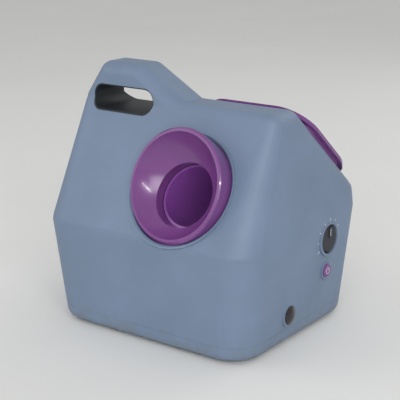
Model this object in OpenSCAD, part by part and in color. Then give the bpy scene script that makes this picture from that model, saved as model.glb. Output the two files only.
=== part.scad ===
// Automatic ball launcher for dogs, in millimetres.
// +Z up, front (launch side) towards -Y, carry handle on -X, ball bowl on +X.
// The origin is on the floor, under the middle of the housing.

/* [Housing] */
// Width of the housing, side to side
body_w = 300; // [290:1:310]
// Depth of the housing, front to back
body_d = 265; // [260:1:275]
// Height of the whole launcher, floor to the top of the handle
body_h = 312; // [308:1:320]
// Wall thickness of the moulded shells
wall = 3; // [2.4:0.1:3.6]
// Radius of the upright corners, seen from above
corner_r = 40; // [36:1:42]
// Radius of the bottom edge
bottom_edge_r = 10; // [8:0.5:12]
// Radius of the soft shoulders
shoulder_r = 16; // [12:1:18]
// How much smaller each side is at the bottom
bottom_inset = 10; // [6:1:12]
// Height at which the front starts to lean back
front_break_z = 128; // [122:1:134]
// Height at which the back starts to slope
rear_break_z = 156; // [150:1:160]
// Height of the crease on the bowl side
side_break_z = 140; // [136:1:146]
// Height of the top ridge
ridge_z = 274; // [270:1:278]
// Height of the joint between base pan and housing
part_z = 22; // [18:1:24]

/* [Handle] */
// Length of the finger slot
slot_len = 88; // [84:1:92]
// Height of the finger slot
slot_h = 28; // [26:1:30]
// Floor of the finger slot below the top of the handle
slot_drop = 56; // [55:1:58]
// Distance of the finger slot's middle from the side
slot_side = 68; // [66:1:70]
// Corner radius of the finger slot
slot_r = 12; // [8:1:13]
// Thickness of the slot liner
liner_t = 1.6; // [1.2:0.1:2.4]

/* [Chute] */
// Distance of the chute's middle from the bowl side
chute_side = 111; // [110:1:112]
// Height of the chute's middle on the leaning face
chute_z = 188; // [186:1:189]
// Outer radius of the turning chute
chute_r = 65; // [62:0.5:66]
// Radius of the ball passage in the chute
chute_bore_r = 38; // [37.5:0.5:38.5]
// Angle between the chute's passage and the axis it turns on
chute_bend = 15; // [12:1:16]
// How far the lip stands out at its longest
lip_out = 30; // [27:1:31]
// Slant of the chute's mouth
lip_slant = 13; // [9:1:13]
// Thickness of the lip
lip_t = 4; // [3:0.5:5]
// Distance in front of the mouth from which the cup is struck
cup_centre = 31; // [28:1:34]
// Wall thickness of the chute behind its cup
chute_wall = 3.5; // [3:0.1:4]
// Turn of the chute from its lowest setting, as shown
chute_turn = -20; // [-40:1:0]

/* [Bowl] */
// Width of the bowl's outline
bowl_w = 130; // [129:1:131]
// Length of the bowl's outline, seen from above
bowl_l = 111; // [109:1:112]
// Distance of the bowl's middle from the bowl side
bowl_side = 85; // [84.5:0.5:85.5]
// Front edge of the bowl's outline
bowl_y0 = 8; // [8:0.5:9]
// Corner radius of the bowl's outline
bowl_r = 30; // [24:1:34]
// Wall thickness of the bowl
bowl_t = 3; // [2.4:0.1:3.4]
// Height of the bowl's floor at the feed hole
bowl_floor_z = 158; // [158:0.5:160]
// Slope of the bowl's floor towards the feed hole
bowl_floor_slope = 7; // [5:1:8]
// Radius of the feed hole
feed_r = 34.5; // [34:0.5:34.5]
// Width of the bowl's rim flange
rim_w = 6; // [5:0.5:7]
// Thickness of the rim flange
rim_t = 4; // [3:0.5:5]

/* [Barrel] */
// Inner radius of the launch barrel
barrel_r = 36; // [35:0.5:36.5]
// Wall thickness of the barrel
barrel_t = 3; // [2.4:0.1:3.2]
// Length from the chute's middle to the barrel's back end
barrel_end = 198; // [197.5:0.5:198.5]
// Ball radius that the launcher is made for
ball_r = 32.5; // [31:0.5:33]

/* [Launch arm] */
// Distance from the arm's pivot to the barrel's axis
arm_len = 58; // [56:1:59]
// Width of the arm
arm_w = 16; // [14:1:20]
// Radius of the hammer head
hammer_r = 16; // [14:0.5:17]
// Radius of the arm's shaft
arm_shaft_r = 4; // [3.5:0.25:4.5]
// Swing of the arm when cocked
arm_swing = 40; // [36:1:40]

/* [Gear train] */
// Module of the arm sector and the cocking pinion
drive_module = 1.5; // [1.5:0.25:1.5]
// Teeth on the arm sector's full circle
sector_teeth = 52; // [52:1:52]
// Tooth places on the cocking pinion
cocking_teeth = 24; // [24:1:24]
// Module of the fast wheels
fast_module = 1; // [1:0.25:1]
// Teeth on the cocking wheel
wheel_teeth = 60; // [60:1:60]
// Teeth on the idler's small pinion
idler_pinion_teeth = 12; // [12:1:12]
// Teeth on the idler's large wheel
idler_wheel_teeth = 40; // [40:1:40]
// Teeth on the motor's pinion
motor_teeth = 10; // [10:1:10]
// Gap between meshing teeth, as an angle share of a tooth
backlash = 0.12; // [0.08:0.01:0.16]
// Thickness of the two gear plates
plate_t = 3; // [2.5:0.25:3.5]
// Radius of the motor can
motor_r = 18; // [16:0.5:18]
// Length of the motor can
motor_len = 50; // [44:1:52]

/* [Controls] */
// Radius of the distance dial
dial_r = 17; // [15:0.5:18]
// Number of grip flutes round the dial
dial_flutes = 24; // [16:1:30]
// Radius of the power button
button_r = 8; // [7:0.5:9]
// Travel of the power button
button_travel = 2.5; // [2:0.1:3]
// Middle of the controls, front to back
control_y = 48; // [44:1:52]
// Height of the dial
dial_z = 112; // [106:1:114]
// Height of the button
button_z = 72; // [68:1:76]
// Radius of the motion sensor lenses
lens_r = 11.5; // [10:0.5:11.5]

/* [Battery compartment] */
// Diameter of one cell
cell_d = 34.2; // [32.3:0.1:34.2]
// Length of one cell
cell_len = 61.5; // [60:0.1:61.5]
// Rows of two cells
cell_rows = 3; // [3:1:3]
// Gap between neighbouring cells
cell_gap = 2; // [1:0.1:2.4]

/* [Feet and fixings] */
// Height of the rubber feet below the base pan
foot_h = 4; // [3:0.5:5]
// Radius of a foot
foot_r = 11; // [9:0.5:12]
// Radius of the housing screws
screw_r = 1.9; // [1.5:0.1:2]
// Running clearance between a shaft and its bore, on the radius
run_gap = 0.05; // [0.02:0.01:0.1]
// Clearance between fixed pieces that slip together
slip_gap = 0.3; // [0.2:0.05:0.4]

/* [Hidden] */

body_grey = [0.55, 0.60, 0.68];
chute_purple = [0.40, 0.16, 0.44];
dark_plastic = [0.14, 0.15, 0.17];
gear_white = [0.90, 0.89, 0.84];
steel = [0.70, 0.71, 0.73];
brass = [0.78, 0.62, 0.30];
rubber = [0.12, 0.12, 0.13];
board_green = [0.10, 0.36, 0.22];

eps = 0.01;
far = 400;

// Places that keep their distance from the sides.
slot_x = -body_w / 2 + slot_side;
slot_z = body_h - slot_drop;
chute_x = body_w / 2 - chute_side;
bowl_x = body_w / 2 - bowl_side;

// Outer form of the housing: rings and balls that one hull wraps.
side_x = body_w / 2 - corner_r;
side_y = body_d / 2 - corner_r;
low_z = foot_h + bottom_edge_r;
ridge_r = shoulder_r;
ridge_front_y = -38;
ridge_rear_y = -10;
ridge_left_x = -body_w / 2 + 2 + ridge_r;
ridge_right_x = body_w / 2 - 14 - ridge_r;
ridge_ball_z = ridge_z - ridge_r;
crease_inset = 2;

// Leaning front face, which the chute stands square to.
front_y = -side_y - (corner_r - shoulder_r);
lean_y = ridge_front_y - front_y;
lean_z = ridge_ball_z - front_break_z;
chute_elev = atan2(lean_y, lean_z);
face_y = front_y - shoulder_r * cos(chute_elev);
face_z = front_break_z + shoulder_r * sin(chute_elev);
chute_y = face_y + (chute_z - face_z) * tan(chute_elev);

// Sloping back face, which the bowl's rim lies on.
rear_y = side_y + corner_r - shoulder_r;
slope_y = rear_y - ridge_rear_y;
slope_z = ridge_ball_z - rear_break_z;
rear_slope = atan2(slope_z, slope_y);
slope_top_y = ridge_rear_y + shoulder_r * sin(rear_slope);
slope_top_z = ridge_ball_z + shoulder_r * cos(rear_slope);

// Chute and collar, measured along the chute's axis from the face.
collar_r = chute_r + 5;
collar_out = 2;
collar_in = 19.6;
chute_gap = 0.5;
chute_back = 24;
flange_t = 4;
flange_r = chute_r + 4;
retainer_back = 29;
retainer_r = collar_r + 2;
lip_middle = lip_out - chute_r * tan(lip_slant);
lip_bevel = 1.2;
cup_r = sqrt(pow(chute_r - lip_t, 2) + cup_centre * cup_centre);
chute_ribs = 8;
chute_rib_t = 2;
barrel_out_r = barrel_r + barrel_t;
barrel_start = 26.5;
collar_bevel = 2.5;

// Cap that closes the barrel's back end around the hammer.
cap_t = 4;
cap_hole_r = hammer_r + 4;
cap_r = barrel_out_r + 3;

// Where the ball waits against the cap, and the feed tower over it.
ball_t = barrel_end - sqrt(ball_r * ball_r - cap_hole_r * cap_hole_r);
ball_y = chute_y + ball_t * cos(chute_elev);
ball_z = chute_z - ball_t * sin(chute_elev);
tower_r = feed_r + 2.5;
tower_t = 3;
tower_top = bowl_floor_z - bowl_t;
spigot_t = 2;
rim_gap = 0.2;
funnel_reach = 160;
spigot_len = 6;
saddle_t = 2.5;

// Leg that carries the barrel on the base.
leg_along = 105;
leg_y = chute_y + leg_along * cos(chute_elev);
leg_top = chute_z - leg_along * sin(chute_elev);
leg_w = 32;
leg_t = 5;
leg_foot = 16;

// Launch arm, whose pivot lies square below the barrel's axis.
arm_t = barrel_end + 12;
pivot_y = chute_y + arm_t * cos(chute_elev) - arm_len * sin(chute_elev);
pivot_z = chute_z - arm_t * sin(chute_elev) - arm_len * cos(chute_elev);
arm_beam = 12;
hub_r = 11;
pad_t = 3;
head_front = 14;
head_back = 2;

// Gear train, laid out from the arm's pivot.
sector_r = sector_teeth * drive_module / 2;
cocking_r = cocking_teeth * drive_module / 2;
wheel_r = wheel_teeth * fast_module / 2;
idler_pinion_r = idler_pinion_teeth * fast_module / 2;
idler_wheel_r = idler_wheel_teeth * fast_module / 2;
motor_pinion_r = motor_teeth * fast_module / 2;
cocking_dir = 150;
idler_dir = 210;
motor_dir = 200;
cocking_y = pivot_y + (sector_r + cocking_r) * cos(cocking_dir);
cocking_z = pivot_z + (sector_r + cocking_r) * sin(cocking_dir);
idler_y = cocking_y + (wheel_r + idler_pinion_r) * cos(idler_dir);
idler_z = cocking_z + (wheel_r + idler_pinion_r) * sin(idler_dir);
motor_y = idler_y + (idler_wheel_r + motor_pinion_r) * cos(motor_dir);
motor_z = idler_z + (idler_wheel_r + motor_pinion_r) * sin(motor_dir);
plate_in_x = chute_x + barrel_out_r + 5;
layer_1 = plate_in_x + plate_t + 2;
layer_2 = layer_1 + 6;
layer_3 = layer_2 + 7;
plate_out_x = layer_3 + 10;
fast_face = 4;
wheel_face = 5;
drive_face = 7;
wheel_shaft_r = 3;
idler_shaft_r = 2;
motor_shaft_r = 1.5;
bush_t = 2;
plate_y0 = motor_y - 30;
plate_y1 = pivot_y + 16;
plate_top = cocking_z + wheel_r + 12;
plate_r = 10;
plate_foot = 12;
floor_z = foot_h + wall;
spacer_r = 4;
spacer_in = 10;
spacer_places = [
    [plate_y0 + spacer_in, plate_top - spacer_in],
    [plate_y1 - spacer_in, plate_top - spacer_in],
    [plate_y0 + spacer_in, floor_z + spacer_in],
    [pivot_y + 10, pivot_z - 14]
];

// Controls on the bowl side.
well_depth = 9;
well_floor = 6;
well_gap = 1;
dial_shaft_r = 3;
dial_t = 8;
dial_lift = 0.5;
dial_collar_x = body_w / 2;
dial_x = dial_collar_x - well_depth + dial_lift;
dial_bevel = 3;
dial_sensor_t = 12;
dial_sensor_x = dial_collar_x - well_depth - well_floor - dial_sensor_t;
button_collar_x = body_w / 2 - 3.5;
button_x = button_collar_x + 2;
button_len = 9;
switch_x = button_collar_x - 26;
switch_board_t = 2;
light_r = 2;
light_z = button_z + button_r + 9;
lens_y = -28;
lens_z = 38;
rear_lens_x = body_w / 2 - 66;
lens_rim = 3;
lens_flange_r = lens_r + lens_rim;
lens_dome = 4;
lens_depth = 8;
lens_flange_t = 2.5;
function side_wall_x(z) = body_w / 2 - bottom_inset * (side_break_z - z) / (side_break_z - low_z);
function rear_wall_y(z) = body_d / 2 - bottom_inset * (rear_break_z - z) / (rear_break_z - low_z);
side_lens_x = side_wall_x(lens_z) + 1.5;
rear_lens_y = rear_wall_y(lens_z) + 1.5;

// Battery compartment in the left of the base.
cell_r = cell_d / 2;
cell_pitch = cell_d + cell_gap;
box_len = 2 * cell_len + 7;
box_x0 = -body_w / 2 + 22;
box_x1 = box_x0 + box_len;
box_wid = cell_rows * cell_pitch + 4;
box_wall = 2;
cell_z = floor_z + cell_r + 3;
box_top = cell_z + cell_r + 1.5;
door_gap = 0.5;
latch_x = (box_x0 + box_x1) / 2;
latch_y = box_wid / 2 - 8;
latch_r = 7;
hook_places = [box_x0 + 30, box_x1 - 30];
tongue_len = 17;
tongue_w = 6;
tongue_t = 1.8;
board_z = box_top + box_wall + 6;
board_t = 1.6;

// Feet and screws.
foot_x = body_w / 2 - 48;
foot_y = body_d / 2 - 40.5;
foot_seat = 1;
boss_x = body_w / 2 - 26;
boss_y = body_d / 2 - 28.5;
boss_r = 6;
boss_top = 70;
upstand_h = 5;
upstand_t = 2;
jack_x = box_x0 + 68;
jack_z = 42;
jack_r = 2.75;
jack_body_r = 6;
jack_y = rear_wall_y(jack_z) + 1;

// ---------- shared shapes ----------

module form_ring(x, y, z, plan_r, edge_r, inset)
    translate([x, y, z])
        rotate_extrude($fn = 32)
            translate([plan_r - edge_r, 0])
                circle(r = edge_r - inset, $fn = 16);

module ridge_ball(x, y, inset)
    translate([x, y, ridge_ball_z])
        sphere(r = ridge_r - inset, $fn = 32);

// Housing without its handle, moved in by inset on every side.
module body_form(inset)
    hull() {
        for (sx = [-1, 1], sy = [-1, 1])
            form_ring(sx * (side_x - bottom_inset), sy * (side_y - bottom_inset), low_z,
                      corner_r, bottom_edge_r, inset);
        for (sx = [-1, 1])
            form_ring(sx * side_x, -side_y, front_break_z, corner_r, shoulder_r, inset);
        form_ring(-side_x, side_y, rear_break_z, corner_r, shoulder_r, inset);
        form_ring(side_x, side_y, side_break_z, corner_r, shoulder_r, inset);
        form_ring(side_x - crease_inset, side_y, rear_break_z, corner_r, shoulder_r, inset);
        for (x = [ridge_left_x, ridge_right_x], y = [ridge_front_y, ridge_rear_y])
            ridge_ball(x, y, inset);
    }

// Arch of the handle, rising from the left end of the ridge.
module handle_form(inset)
    hull()
        for (y = [ridge_front_y + 3, ridge_rear_y - 2]) {
            translate([ridge_left_x, y, ridge_ball_z + 6])
                sphere(r = ridge_r - inset, $fn = 32);
            translate([ridge_left_x + 22, y, body_h - ridge_r])
                sphere(r = ridge_r - inset, $fn = 32);
            translate([ridge_left_x + 66, y, body_h - ridge_r])
                sphere(r = ridge_r - inset, $fn = 32);
            translate([ridge_left_x + 134, y, ridge_ball_z - 2])
                sphere(r = ridge_r - inset, $fn = 32);
        }

module rounded_rect(w, h, r) {
    square([w - 2 * r, h], center = true);
    square([w, h - 2 * r], center = true);
    for (sx = [-1, 1], sy = [-1, 1])
        translate([sx * (w / 2 - r), sy * (h / 2 - r)])
            circle(r = r, $fn = 48);
}

// Local frame of the chute: Z along its axis, out of the housing.
module at_chute()
    translate([chute_x, chute_y, chute_z])
        rotate([90 - chute_elev, 0, 0])
            children();

// Drawing in the YZ plane, extruded towards +X from x.
module plate_at(x, t)
    translate([x, 0, 0])
        rotate([90, 0, 90])
            linear_extrude(t)
                children();

module rod_x(x0, x1, y, z, r)
    translate([x0, y, z])
        rotate([0, 90, 0])
            cylinder(r = r, h = x1 - x0, $fn = 48);

module rod_y(y0, y1, x, z, r)
    translate([x, y0, z])
        rotate([-90, 0, 0])
            cylinder(r = r, h = y1 - y0, $fn = 48);

module above(z)
    translate([-far, -far, z])
        cube([2 * far, 2 * far, far]);

module below(z)
    translate([-far, -far, z - far])
        cube([2 * far, 2 * far, far]);

module band(z0, z1)
    translate([-far, -far, z0])
        cube([2 * far, 2 * far, z1 - z0]);

// Half space under the sloping back face, moved out by lift.
module under_rear_slope(lift)
    translate([0, slope_top_y, slope_top_z])
        rotate([-rear_slope, 0, 0])
            translate([-far, -far, lift - far])
                cube([2 * far, 2 * far, far]);

// Involute gear outline with the middle of a tooth on the +X axis.
function involute(rb, a) = [rb * (cos(a) + a * PI / 180 * sin(a)), rb * (sin(a) - a * PI / 180 * cos(a))];
function roll_to(rb, r) = r <= rb ? 0 : sqrt(pow(r / rb, 2) - 1) * 180 / PI;
function turned(p, a) = [p[0] * cos(a) - p[1] * sin(a), p[0] * sin(a) + p[1] * cos(a)];
function flipped(p) = [p[0], -p[1]];
pressure = 20;
function flank(n, m) =
    let (rp = n * m / 2, rb = rp * cos(pressure), tip = rp + m, root = rp - 1.25 * m)
    let (half = 90 / n * (1 - backlash) + (tan(pressure) * 180 / PI - pressure))
    let (radii = [max(rb, root), (max(rb, root) + rp) / 2, rp, tip])
    concat([turned([root, 0], -half)], [for (r = radii) turned(involute(rb, roll_to(rb, r)), -half)]);
function tooth(n, m) =
    let (side = flank(n, m))
    concat(side, [for (i = [len(side) - 1:-1:0]) flipped(side[i])]);
module gear_2d(n, m)
    polygon([for (i = [0:n - 1]) for (p = tooth(n, m)) turned(p, 360 * i / n)]);

// Gear with one tooth (or one gap) pointing along dir.
module gear_at(y, z, n, m, dir, gap)
    translate([y, z])
        rotate(dir + (gap ? 180 / n : 0))
            gear_2d(n, m);

// Wedge between two angles.
module wedge(r, a0, a1)
    polygon(concat([[0, 0]], [for (i = [0:6]) r * [cos(a0 + (a1 - a0) * i / 6), sin(a0 + (a1 - a0) * i / 6)]]));

// ---------- shells ----------

// Screw bosses in the corners, each with a web that starts above the pan's upstand.
module corner_bosses()
    for (sx = [-1, 1], sy = [-1, 1])
        translate([sx * boss_x, sy * boss_y, part_z]) {
            cylinder(r = boss_r, h = boss_top - part_z, $fn = 32);
            rotate([0, 0, atan2(sy, sx)])
                translate([0, -wall / 2, upstand_h + slip_gap])
                    cube([40, wall, boss_top - part_z - upstand_h - slip_gap]);
        }

// Ring on the pan that locates the housing.
module upstand()
    difference() {
        union() {
            intersection() {
                body_form(wall - 0.5);
                band(part_z - 4, part_z - 0.5);
            }
            intersection() {
                body_form(wall + slip_gap);
                band(part_z - 1, part_z + upstand_h);
            }
        }
        body_form(wall + slip_gap + upstand_t);
    }

module base_pan()
    color(body_grey)
        difference() {
            union() {
                difference() {
                    intersection() {
                        body_form(0);
                        below(part_z);
                    }
                    difference() {
                        body_form(wall);
                        below(floor_z);
                    }
                }
                upstand();
                // battery box
                translate([box_x0 - box_wall, -box_wid / 2 - box_wall, foot_h])
                    cube([box_len + 2 * box_wall, box_wid + 2 * box_wall, box_top + box_wall - foot_h]);
                // posts for the control board
                for (x = [box_x0 + 24, box_x1 - 24], y = [-box_wid / 2 + 14, box_wid / 2 - 14])
                    translate([x, y, box_top])
                        cylinder(r = 3.5, h = board_z - box_top, $fn = 24);
                // screw posts
                intersection() {
                    translate([0, 0, floor_z - 1])
                        for (sx = [-1, 1], sy = [-1, 1])
                            translate([sx * boss_x, sy * boss_y, 0])
                                cylinder(r = boss_r + 1, h = part_z - floor_z + 1, $fn = 32);
                    body_form(1);
                }
            }
            translate([box_x0, -box_wid / 2, foot_h - eps])
                cube([box_len, box_wid, box_top - foot_h + eps]);
            // slot for the latch tongue
            translate([latch_x - 14, box_wid / 2 - 1, floor_z])
                cube([28, box_wall + 2, 4]);
            // pockets for the hooks of the battery door
            for (x = hook_places)
                translate([x - 6, -box_wid / 2 - box_wall - 1, floor_z])
                    cube([12, box_wall + 2, 2.6]);
            // room in the upstand for the housing's bosses and the lens flanges
            for (sx = [-1, 1], sy = [-1, 1])
                translate([sx * boss_x, sy * boss_y, part_z])
                    cylinder(r = boss_r + slip_gap, h = upstand_h + 1, $fn = 32);
            rod_x(side_lens_x - 20, side_lens_x, lens_y, lens_z, lens_flange_r + slip_gap);
            rod_y(rear_lens_y - 20, rear_lens_y, rear_lens_x, lens_z, lens_flange_r + slip_gap);
            for (sx = [-1, 1], sy = [-1, 1]) {
                translate([sx * foot_x, sy * foot_y, foot_h - eps])
                    cylinder(r = foot_r + slip_gap, h = foot_seat + eps, $fn = 48);
                translate([sx * boss_x, sy * boss_y, foot_h - 1]) {
                    cylinder(r = screw_r + slip_gap, h = 40, $fn = 24);
                    cylinder(r = 2 * screw_r + slip_gap, h = 5, $fn = 32);
                }
            }
            // floor drain vents under the motor
            for (i = [0:5])
                translate([chute_x - 14 + 8 * i, motor_y - 12, foot_h - 1])
                    cube([3, 24, wall + 2]);
        }

// Slot of the handle, as a straight tunnel from front to back.
module slot_tunnel(grow)
    translate([slot_x, far / 2, slot_z + slot_h / 2])
        rotate([90, 0, 0])
            linear_extrude(far)
                rounded_rect(slot_len + 2 * grow, slot_h + 2 * grow, slot_r + grow);

module bowl_outline(grow)
    translate([bowl_x, bowl_y0 + bowl_l / 2])
        rounded_rect(bowl_w + 2 * grow, bowl_l + 2 * grow, bowl_r + grow);

module main_housing()
    color(body_grey)
        difference() {
            union() {
                difference() {
                    intersection() {
                        union() {
                            body_form(0);
                            handle_form(0);
                        }
                        above(part_z);
                    }
                    difference() {
                        union() {
                            body_form(wall);
                            handle_form(wall);
                        }
                        slot_tunnel(liner_t + wall + slip_gap);
                    }
                }
                at_chute()
                    translate([0, 0, -collar_in])
                        cylinder(r = collar_r, h = collar_in + collar_out, $fn = 96);
                // collars round the dial well, the button, the lenses and the jack
                rod_x(dial_collar_x - well_depth - well_floor, dial_collar_x, control_y, dial_z, dial_r + 4);
                rod_x(button_collar_x - 10, button_collar_x, control_y, button_z, button_r + 3);
                rod_x(side_lens_x - lens_depth, side_lens_x, lens_y, lens_z, lens_flange_r);
                rod_y(rear_lens_y - lens_depth, rear_lens_y, rear_lens_x, lens_z, lens_flange_r);
                rod_y(jack_y - 8, jack_y, jack_x, jack_z, 10);
                intersection() {
                    corner_bosses();
                    body_form(1);
                }
            }
            slot_tunnel(liner_t);
            at_chute() {
                translate([0, 0, -chute_back - 2])
                    cylinder(r = chute_r + chute_gap, h = chute_back + 12, $fn = 96);
                translate([0, 0, collar_out - collar_bevel])
                    cylinder(r1 = chute_r + chute_gap, r2 = chute_r + chute_gap + collar_bevel,
                             h = collar_bevel + eps, $fn = 96);
            }
            translate([0, 0, 100])
                linear_extrude(far)
                    bowl_outline(slip_gap);
            // dial well with its shaft hole
            rod_x(dial_collar_x - well_depth, dial_collar_x + 1, control_y, dial_z, dial_r + well_gap);
            rod_x(dial_collar_x - 20, dial_collar_x, control_y, dial_z, dial_shaft_r + run_gap);
            rod_x(button_collar_x - 20, button_collar_x + 1, control_y, button_z, button_r + slip_gap);
            rod_x(side_lens_x - 20, side_lens_x + 1, lens_y, lens_z, lens_r + slip_gap);
            rod_y(rear_lens_y - 20, rear_lens_y + 1, rear_lens_x, lens_z, lens_r + slip_gap);
            rod_y(jack_y - 20, jack_y + 1, jack_x, jack_z, jack_body_r + slip_gap);
            // hole for the indicator over the button
            rod_x(button_collar_x - 20, body_w / 2, control_y, light_z, light_r + slip_gap);
            for (sx = [-1, 1], sy = [-1, 1])
                translate([sx * boss_x, sy * boss_y, part_z - eps])
                    cylinder(r = screw_r, h = 26, $fn = 24);
        }

module handle_liner()
    color(dark_plastic)
        intersection() {
            difference() {
                slot_tunnel(liner_t - slip_gap / 2);
                slot_tunnel(0);
            }
            union() {
                body_form(0.8);
                handle_form(0.8);
            }
        }

// Basin with its rim flange and spigot, before its inside is cut.
module bowl_outside() {
    intersection() {
        translate([0, 0, bowl_floor_z - bowl_t])
            linear_extrude(far)
                bowl_outline(0);
        under_rear_slope(rim_t + rim_gap);
    }
    intersection() {
        translate([0, 0, bowl_floor_z])
            linear_extrude(far)
                bowl_outline(rim_w);
        difference() {
            under_rear_slope(rim_t + rim_gap);
            under_rear_slope(rim_gap);
        }
    }
    translate([chute_x, ball_y, bowl_floor_z - bowl_t - spigot_len])
        cylinder(r = feed_r + spigot_t, h = spigot_len + 1, $fn = 64);
}

// Inside of the basin: a funnel over the feed hole.
module bowl_inside()
    intersection() {
        translate([0, 0, bowl_floor_z - bowl_t])
            linear_extrude(far)
                bowl_outline(-bowl_t);
        translate([chute_x, ball_y, bowl_floor_z])
            union() {
                cylinder(r1 = feed_r, r2 = feed_r + funnel_reach,
                         h = funnel_reach * tan(bowl_floor_slope), $fn = 96);
                translate([-far, -far, funnel_reach * tan(bowl_floor_slope)])
                    cube([2 * far, 2 * far, far]);
            }
    }

module ball_bowl()
    color(chute_purple)
        difference() {
            union() {
                difference() {
                    bowl_outside();
                    bowl_inside();
                }
                // saddle over the barrel, which rises under the front of the floor
                intersection() {
                    at_chute()
                        translate([0, 0, -barrel_end])
                            cylinder(r = barrel_out_r + slip_gap + saddle_t, h = barrel_end, $fn = 96);
                    translate([0, 0, bowl_floor_z - bowl_t])
                        linear_extrude(40)
                            bowl_outline(-eps);
                }
            }
            at_chute()
                translate([0, 0, -barrel_end - 1])
                    cylinder(r = barrel_out_r + slip_gap, h = barrel_end + 1, $fn = 96);
            translate([chute_x, ball_y, bowl_floor_z - 40])
                cylinder(r = feed_r, h = 80, $fn = 64);
        }

// ---------- chute and barrel ----------

// Frame of the slanted mouth: Z out of it, square to its plane.
module at_mouth()
    translate([0, 0, lip_middle])
        rotate([lip_slant, 0, 0])
            children();

module chute_passage(r)
    translate([0, 0, -chute_back])
        rotate([chute_bend, 0, 0])
            translate([0, 0, -30])
                cylinder(r = r, h = 120, $fn = 96);

module cup(grow)
    at_mouth()
        translate([0, 0, cup_centre])
            sphere(r = cup_r + grow, $fn = 96);

module launch_chute()
    color(chute_purple)
        at_chute()
            rotate([0, 0, chute_turn])
                difference() {
                    intersection() {
                        union() {
                            translate([0, 0, -chute_back])
                                cylinder(r = chute_r, h = chute_back + lip_out + 1, $fn = 96);
                            translate([0, 0, -chute_back])
                                cylinder(r = flange_r, h = flange_t, $fn = 96);
                        }
                        // mouth, slanted to the side that the passage bends to, with its edge taken off
                        at_mouth()
                            translate([0, 0, -far])
                                cylinder(r1 = chute_r - lip_bevel + far, r2 = chute_r - lip_bevel, h = far, $fn = 96);
                    }
                    // ball passage, bent away from the axis, and the cup that it opens into
                    chute_passage(chute_bore_r);
                    cup(0);
                    // hollow between the outer wall and the passage, open to the back and stiffened by ribs
                    difference() {
                        intersection() {
                            translate([0, 0, -chute_back - 1])
                                cylinder(r = chute_r - chute_wall, h = far / 2, $fn = 96);
                            at_mouth()
                                translate([0, 0, -far - 2 * chute_wall])
                                    cylinder(r = far, h = far);
                        }
                        chute_passage(chute_bore_r + chute_wall);
                        cup(chute_wall);
                        for (i = [0:chute_ribs - 1])
                            rotate([0, 0, 360 * i / chute_ribs])
                                translate([chute_bore_r, -chute_rib_t / 2, -chute_back + flange_t])
                                    cube([chute_r - chute_bore_r, chute_rib_t, far / 2]);
                    }
                }

module chute_retainer()
    color(dark_plastic)
        at_chute()
            difference() {
                translate([0, 0, -retainer_back])
                    cylinder(r = retainer_r, h = retainer_back - collar_in, $fn = 96);
                translate([0, 0, -chute_back - slip_gap])
                    cylinder(r = flange_r + chute_gap, h = 20, $fn = 96);
                translate([0, 0, -retainer_back - 1])
                    cylinder(r = barrel_out_r + slip_gap, h = 20, $fn = 96);
            }

module launch_barrel()
    color(chute_purple)
        difference() {
            union() {
                at_chute()
                    translate([0, 0, -barrel_end])
                        cylinder(r = barrel_out_r, h = barrel_end - barrel_start, $fn = 96);
                translate([chute_x, ball_y, ball_z])
                    cylinder(r = tower_r + tower_t, h = tower_top - ball_z, $fn = 64);
                // leg on the base
                translate([chute_x - leg_w / 2, leg_y - leg_t, floor_z])
                    cube([leg_w, leg_t, leg_top - floor_z]);
                translate([chute_x - leg_w / 2, leg_y - leg_foot, floor_z])
                    cube([leg_w, leg_foot, wall]);
            }
            at_chute() {
                translate([0, 0, -barrel_end - 1])
                    cylinder(r = barrel_r, h = barrel_end, $fn = 96);
                // square end, closed by the end cap
                translate([-far / 2, -far / 2, -barrel_end - far])
                    cube(far);
            }
            translate([chute_x, ball_y, ball_z])
                cylinder(r = tower_r, h = far, $fn = 64);
            // slot for the ball lever, under the waiting ball
            at_chute()
                translate([-3, -barrel_out_r - 1, -ball_t - 9])
                    cube([6, 12, 21]);
        }

module barrel_end_cap()
    color(dark_plastic)
        at_chute()
            difference() {
                translate([0, 0, -barrel_end - cap_t])
                    cylinder(r = cap_r, h = cap_t, $fn = 96);
                translate([0, 0, -barrel_end - cap_t - 1])
                    cylinder(r = cap_hole_r, h = cap_t + 2, $fn = 64);
            }

// ---------- launch arm ----------

module launch_arm()
    color(gear_white)
        difference() {
            union() {
                translate([chute_x - arm_w / 2, 0, 0])
                    rotate([90, 0, 90])
                        linear_extrude(arm_w) {
                            translate([pivot_y, pivot_z])
                                rotate(90 - chute_elev)
                                    translate([0, -arm_beam / 2])
                                        square([arm_len, arm_beam]);
                            translate([pivot_y, pivot_z])
                                circle(r = hub_r, $fn = 64);
                        }
                rod_x(chute_x - arm_w / 2 - 2, chute_x + arm_w / 2 + 4, pivot_y, pivot_z, hub_r);
                at_chute()
                    translate([0, 0, -arm_t - head_back])
                        cylinder(r = hammer_r, h = head_back + head_front, $fn = 64);
            }
            rod_x(0, far, pivot_y, pivot_z, arm_shaft_r);
        }

module hammer_pad()
    color(rubber)
        at_chute()
            translate([0, 0, -arm_t + head_front])
                cylinder(r = hammer_r - 1, h = pad_t, $fn = 64);

module arm_shaft()
    color(steel)
        rod_x(chute_x - 28, plate_out_x + plate_t + 2, pivot_y, pivot_z, arm_shaft_r);

module arm_sector()
    color(gear_white)
        difference() {
            plate_at(layer_3, drive_face) {
                intersection() {
                    gear_at(pivot_y, pivot_z, sector_teeth, drive_module, cocking_dir, false);
                    translate([pivot_y, pivot_z])
                        wedge(sector_r + 6, cocking_dir - 15, cocking_dir + arm_swing + 15);
                }
                translate([pivot_y, pivot_z])
                    circle(r = hub_r, $fn = 64);
            }
            rod_x(0, far, pivot_y, pivot_z, arm_shaft_r);
        }

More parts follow.
